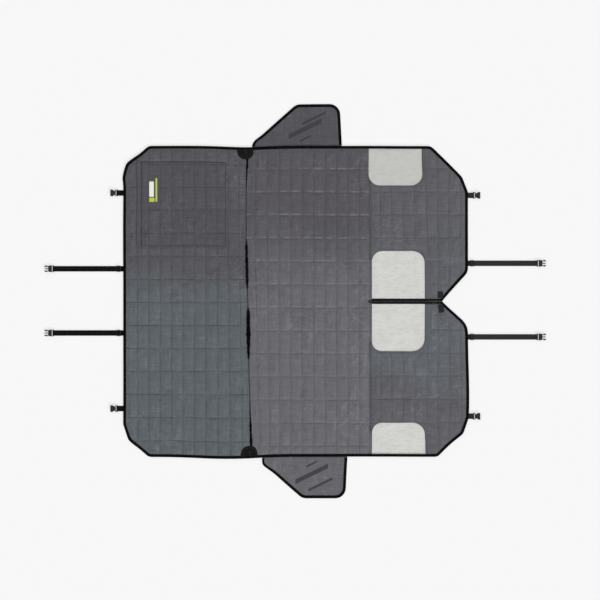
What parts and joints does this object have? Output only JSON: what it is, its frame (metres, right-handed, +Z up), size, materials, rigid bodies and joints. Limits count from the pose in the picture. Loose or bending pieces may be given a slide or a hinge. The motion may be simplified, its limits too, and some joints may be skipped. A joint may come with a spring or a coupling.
{
  "type": "dog car hammock",
  "caption": "Quilted rear seat cover and hammock for a dog, laid flat, with mesh windows, a centre zip, side flaps and buckled headrest straps.",
  "frame": {"origin": "middle of the footprint, on the ground", "axes": "+X from the back panel to the front panel, +Y to the left, +Z up out of the upper side"},
  "size_m": [2.297, 1.8044, 0.0105],
  "materials": {
    "quilted_cloth": "dark grey quilted polyester, matt",
    "flap_cloth": "dark grey plain polyester, matt",
    "binding_tape": "black woven tape",
    "webbing": "black ribbed webbing",
    "window_mesh": "pale grey air mesh",
    "buckle_plastic": "black moulded plastic",
    "zip_plastic": "black moulded teeth",
    "zip_metal": "black coated zinc"
  },
  "bodies": {
    "root": {"back_binding": "binding_tape", "back_panel": "quilted_cloth", "corner_patch_left": "binding_tape", "corner_patch_right": "binding_tape", "flap_binding_left": "binding_tape", "flap_binding_right": "binding_tape", "front_binding_left": "binding_tape", "front_binding_right": "binding_tape", "front_panel_left": "quilted_cloth", "front_panel_right": "quilted_cloth", "inner_window_left": "window_mesh", "inner_window_right": "window_mesh", "long_strap_back_left": "webbing", "long_strap_back_right": "webbing", "long_strap_front_left": "webbing", "long_strap_front_right": "webbing", "outer_window_left": "window_mesh", "outer_window_right": "window_mesh", "pocket_badge": "binding_tape", "pocket_hem": "quilted_cloth", "pocket_panel": "quilted_cloth", "prong_buckle_back_left": "buckle_plastic", "prong_buckle_back_right": "buckle_plastic", "prong_buckle_front_left": "buckle_plastic", "prong_buckle_front_right": "buckle_plastic", "seam_tape": "binding_tape", "seat_panel": "quilted_cloth", "short_strap_back_left": "webbing", "short_strap_back_right": "webbing", "short_strap_front_left": "webbing", "short_strap_front_right": "webbing", "side_flap_left": "flap_cloth", "side_flap_right": "flap_cloth", "socket_buckle_back_left": "buckle_plastic", "socket_buckle_back_right": "buckle_plastic", "socket_buckle_front_left": "buckle_plastic", "socket_buckle_front_right": "buckle_plastic", "triglide_back_left": "buckle_plastic", "triglide_back_right": "buckle_plastic", "triglide_front_left": "buckle_plastic", "triglide_front_right": "buckle_plastic", "zip_bottom_stop": "zip_metal", "zip_tab_left": "webbing", "zip_tab_right": "webbing", "zip_tape_left": "binding_tape", "zip_tape_right": "binding_tape", "zip_teeth_left": "zip_plastic", "zip_teeth_right": "zip_plastic"},
    "zip_slider": {"zip_slider": "zip_metal"},
    "zip_pull": {"zip_pull": "zip_metal"}
  },
  "joints": [
    {"name": "zip_slide", "type": "slide", "parent": "root", "child": "zip_slider", "axis": [-1, 0, 0], "range_m": [0, 0.285]},
    {"name": "pull_hinge", "type": "hinge", "parent": "zip_slider", "child": "zip_pull", "pos_m": [0.639, 0, 0.00808], "axis": [0, 1, 0], "range_deg": [0, 150]}
  ]
}
